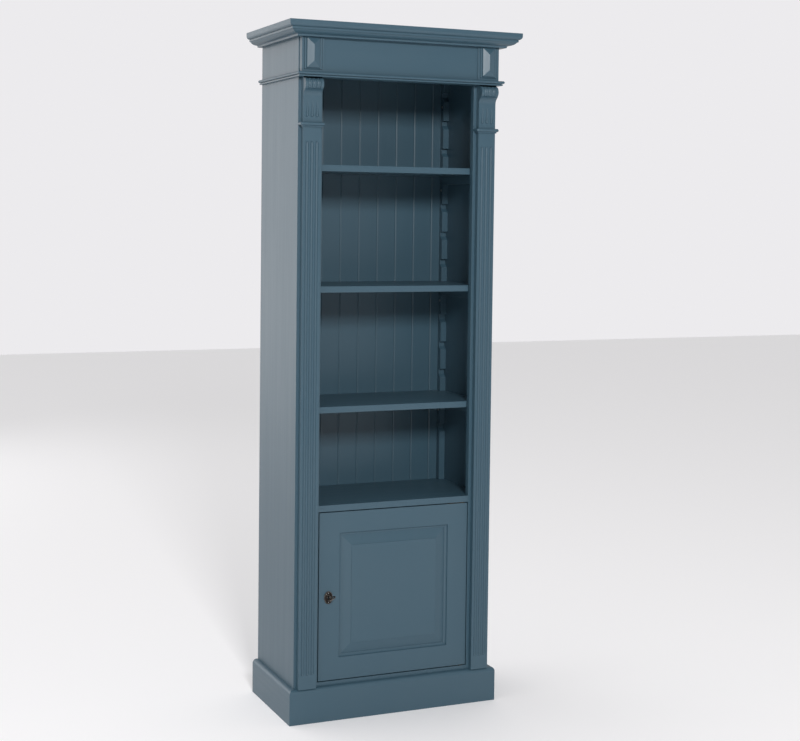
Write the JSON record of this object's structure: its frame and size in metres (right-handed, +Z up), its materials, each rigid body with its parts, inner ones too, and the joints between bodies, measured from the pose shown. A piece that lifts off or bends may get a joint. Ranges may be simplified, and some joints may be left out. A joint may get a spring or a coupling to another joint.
{
  "type": "narrow bookcase",
  "caption": "Tall narrow bookcase with open adjustable shelves over a low cupboard, fluted pilasters, carved consoles, a panelled door and a moulded cornice.",
  "frame": {"origin": "on the floor, under the middle of the outline seen from above", "axes": "+Z up, +X to the right seen from the front, front towards -Y"},
  "size_m": [0.7586, 0.4154, 2.1],
  "materials": {
    "painted_wood": "satin blue-grey paint",
    "bare_wood": "sawn, unpainted",
    "dark_metal": "dark antique, worn bright at the edges",
    "hinge_brass": "plain rolled",
    "lock_iron": "plain",
    "screw_steel": "zinc plated"
  },
  "bodies": {
    "case": {"back_boards": "painted_wood", "bottom_board": "painted_wood", "case_screws": "screw_steel", "console_left": "painted_wood", "console_right": "painted_wood", "counter_board": "painted_wood", "crown_board": "painted_wood", "crown_moulding_front": "painted_wood", "crown_moulding_left": "painted_wood", "crown_moulding_right": "painted_wood", "door_stop": "painted_wood", "frieze_block_left": "painted_wood", "frieze_block_right": "painted_wood", "frieze_board": "painted_wood", "frieze_diamond_left": "painted_wood", "frieze_diamond_right": "painted_wood", "head_rail": "painted_wood", "hinge_leaves_case": "hinge_brass", "keeper_plate": "hinge_brass", "necking_front": "painted_wood", "necking_left": "painted_wood", "necking_right": "painted_wood", "pilaster_bead_left": "painted_wood", "pilaster_bead_right": "painted_wood", "pilaster_left": "painted_wood", "pilaster_right": "painted_wood", "plinth_back_rail": "bare_wood", "plinth_blocks": "bare_wood", "plinth_front": "painted_wood", "plinth_left": "painted_wood", "plinth_right": "painted_wood", "side_panel_left": "painted_wood", "side_panel_right": "painted_wood", "stile_left": "painted_wood", "stile_right": "painted_wood", "toothed_rail_front_left": "painted_wood", "toothed_rail_front_right": "painted_wood", "toothed_rail_rear_left": "painted_wood", "toothed_rail_rear_right": "painted_wood", "top_panel": "painted_wood"},
    "door": {"door_panel": "painted_wood", "door_rail_bottom": "painted_wood", "door_rail_top": "painted_wood", "door_screws": "screw_steel", "door_stile_hinge": "painted_wood", "door_stile_lock": "painted_wood", "escutcheon": "dark_metal", "hinge_leaves_door": "hinge_brass", "lock_case": "lock_iron"},
    "lock_bolt": {"lock_bolt": "hinge_brass"},
    "key": {"key": "dark_metal"},
    "shelf_1": {"shelf_1": "painted_wood"},
    "cleat_1_left": {"cleat_1_left": "painted_wood"},
    "cleat_1_right": {"cleat_1_right": "painted_wood"},
    "shelf_2": {"shelf_2": "painted_wood"},
    "cleat_2_left": {"cleat_2_left": "painted_wood"},
    "cleat_2_right": {"cleat_2_right": "painted_wood"},
    "shelf_3": {"shelf_3": "painted_wood"},
    "cleat_3_left": {"cleat_3_left": "painted_wood"},
    "cleat_3_right": {"cleat_3_right": "painted_wood"}
  },
  "joints": [
    {"name": "door_swing", "type": "hinge", "parent": "case", "child": "door", "pos_m": [0.2313, -0.1223, 0.38], "axis": [0, 0, 1], "range_deg": [0, 110]},
    {"name": "key_turn", "type": "hinge", "parent": "door", "child": "key", "pos_m": [-0.2166, -0.1423, 0.379], "axis": [0, 1, 0], "range_deg": [0, 90]},
    {"name": "bolt_slide", "type": "slide", "parent": "door", "child": "lock_bolt", "axis": [-1, 0, 0], "range_m": [0, 0.008]},
    {"name": "shelf_1_lift", "type": "slide", "parent": "case", "child": "shelf_1", "axis": [0, 0, 1], "range_m": [0, 0.0912]},
    {"name": "cleat_1_left_slide", "type": "slide", "parent": "case", "child": "cleat_1_left", "axis": [1, 0, 0], "range_m": [0, 0.025]},
    {"name": "cleat_1_right_slide", "type": "slide", "parent": "case", "child": "cleat_1_right", "axis": [-1, 0, 0], "range_m": [0, 0.025]},
    {"name": "shelf_2_lift", "type": "slide", "parent": "case", "child": "shelf_2", "axis": [0, 0, 1], "range_m": [0, 0.0912]},
    {"name": "cleat_2_left_slide", "type": "slide", "parent": "case", "child": "cleat_2_left", "axis": [1, 0, 0], "range_m": [0, 0.025]},
    {"name": "cleat_2_right_slide", "type": "slide", "parent": "case", "child": "cleat_2_right", "axis": [-1, 0, 0], "range_m": [0, 0.025]},
    {"name": "shelf_3_lift", "type": "slide", "parent": "case", "child": "shelf_3", "axis": [0, 0, 1], "range_m": [0, 0.0912]},
    {"name": "cleat_3_left_slide", "type": "slide", "parent": "case", "child": "cleat_3_left", "axis": [1, 0, 0], "range_m": [0, 0.025]},
    {"name": "cleat_3_right_slide", "type": "slide", "parent": "case", "child": "cleat_3_right", "axis": [-1, 0, 0], "range_m": [0, 0.025]}
  ],
  "couplings": [
    {"joint": "key_turn", "follows": "bolt_slide", "rad_per_m": 196.35}
  ]
}
